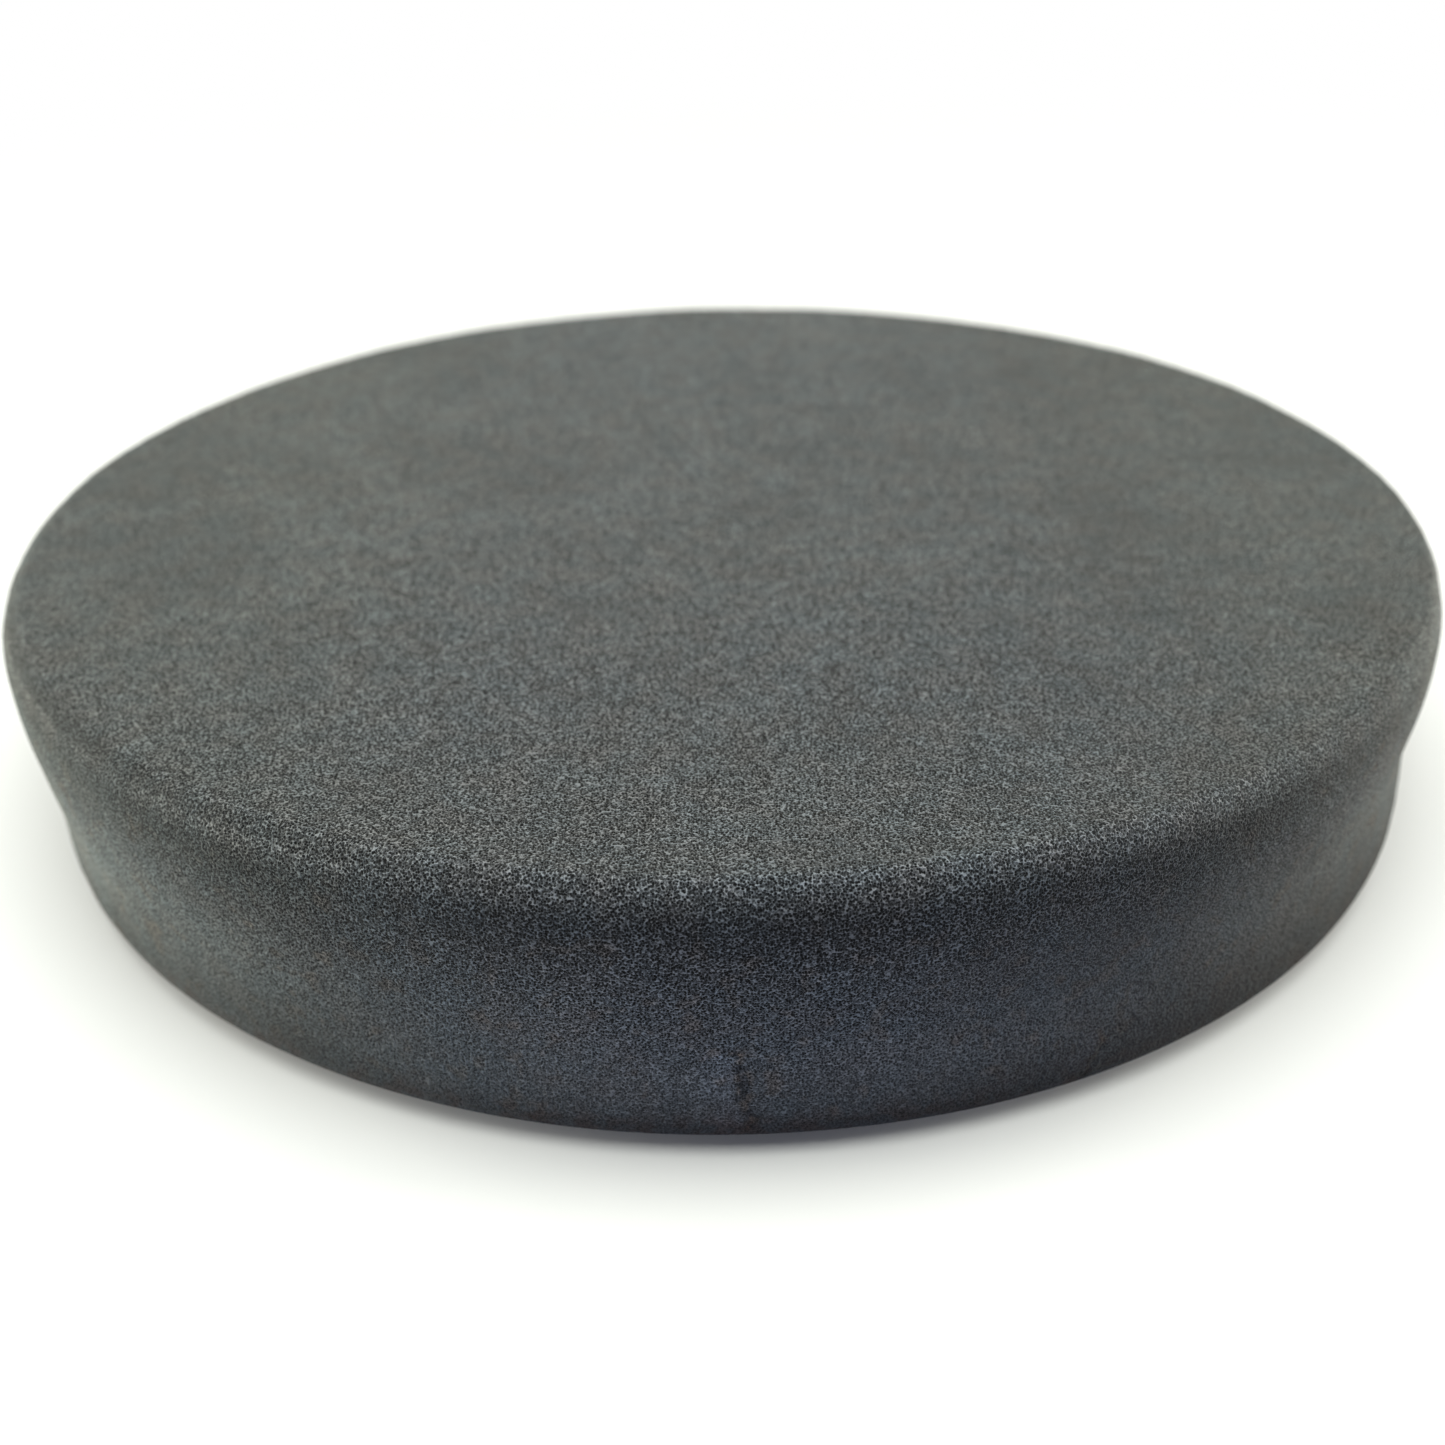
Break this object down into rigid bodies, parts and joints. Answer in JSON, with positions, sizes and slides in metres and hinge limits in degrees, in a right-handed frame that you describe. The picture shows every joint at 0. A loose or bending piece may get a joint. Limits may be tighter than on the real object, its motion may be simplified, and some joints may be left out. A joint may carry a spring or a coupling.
{
  "type": "polishing pad",
  "caption": "Round flat-faced foam polishing pad with a rounded shoulder, a waisted wall and a hook-and-loop backing for a rotary or orbital polisher.",
  "frame": {"origin": "centre of the pad's underside, on the ends of the loops, where the pad meets a backing plate", "axes": "+Z along the pad's axis, from the loops towards the working face; X and Y lie in the underside and are interchangeable"},
  "size_m": [0.15, 0.15, 0.028],
  "materials": {
    "foam": "dark grey open-cell polyurethane foam with fine cells, fully matt",
    "hot_melt": "thin hot-melt adhesive film, satin",
    "ground_cloth": "near-black warp-knitted nylon ground, rim fused by heat cutting",
    "loops": "near-black brushed nylon loops"
  },
  "bodies": {
    "root": {"foam_disc": "foam", "adhesive_film": "hot_melt", "backing_cloth": "ground_cloth", "loop_pile": "loops"}
  },
  "joints": []
}
